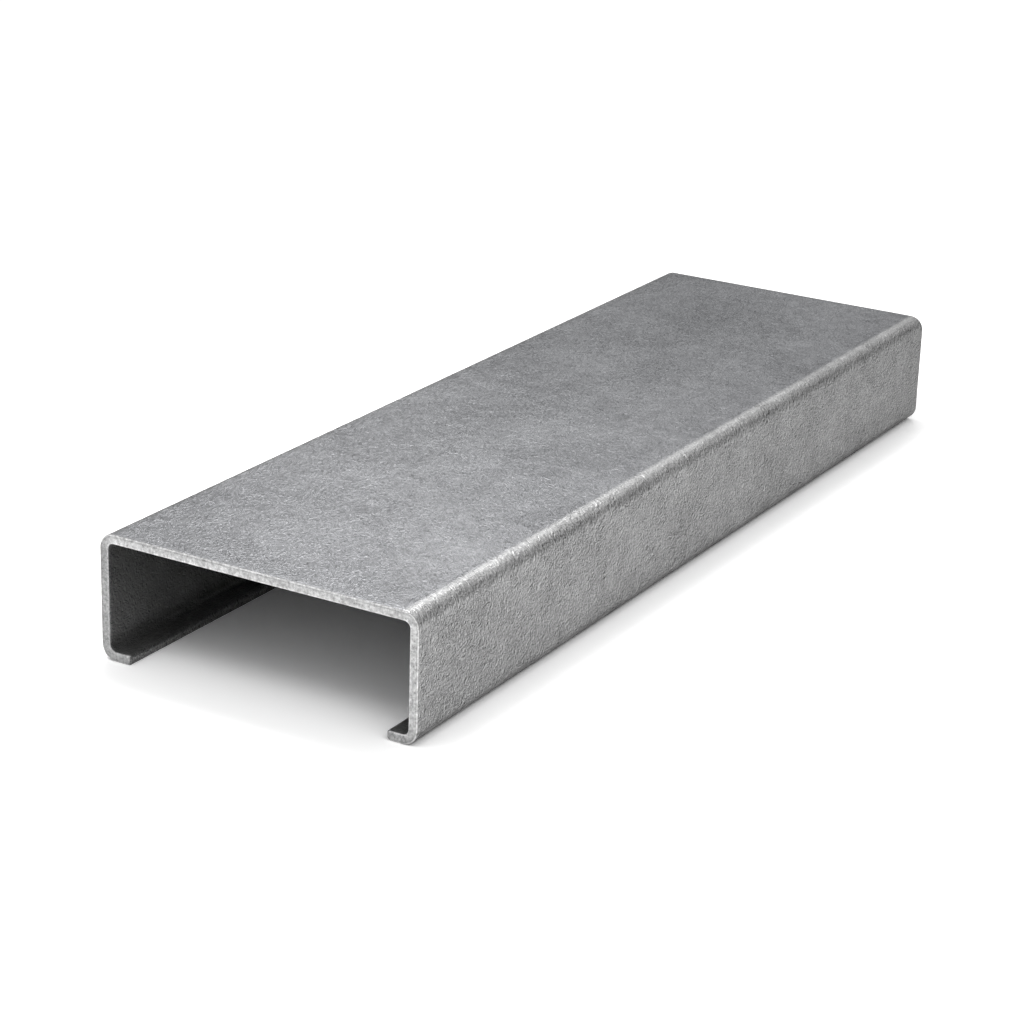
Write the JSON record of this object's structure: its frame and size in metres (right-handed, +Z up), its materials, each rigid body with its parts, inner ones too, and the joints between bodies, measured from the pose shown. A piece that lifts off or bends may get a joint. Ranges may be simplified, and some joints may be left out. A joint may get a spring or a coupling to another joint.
{
  "type": "lipped steel channel section",
  "caption": "Short length of cold-formed galvanised steel channel: a wide web, shallow flanges and narrow lips turned inwards, plain, lying web up on its lips.",
  "frame": {"origin": "on the floor plane under the middle of the web, halfway along the channel", "axes": "+X across the web from the square-tipped lip to the round-tipped lip, +Y along the channel, +Z up out of the web's outer face"},
  "size_m": [0.11, 0.35, 0.04],
  "materials": {
    "galvanised_steel": "matt grey zinc coating with a fine even grain, the saw-cut ends lighter and granular"
  },
  "bodies": {
    "root": {"lipped_channel": "galvanised_steel"}
  },
  "joints": []
}
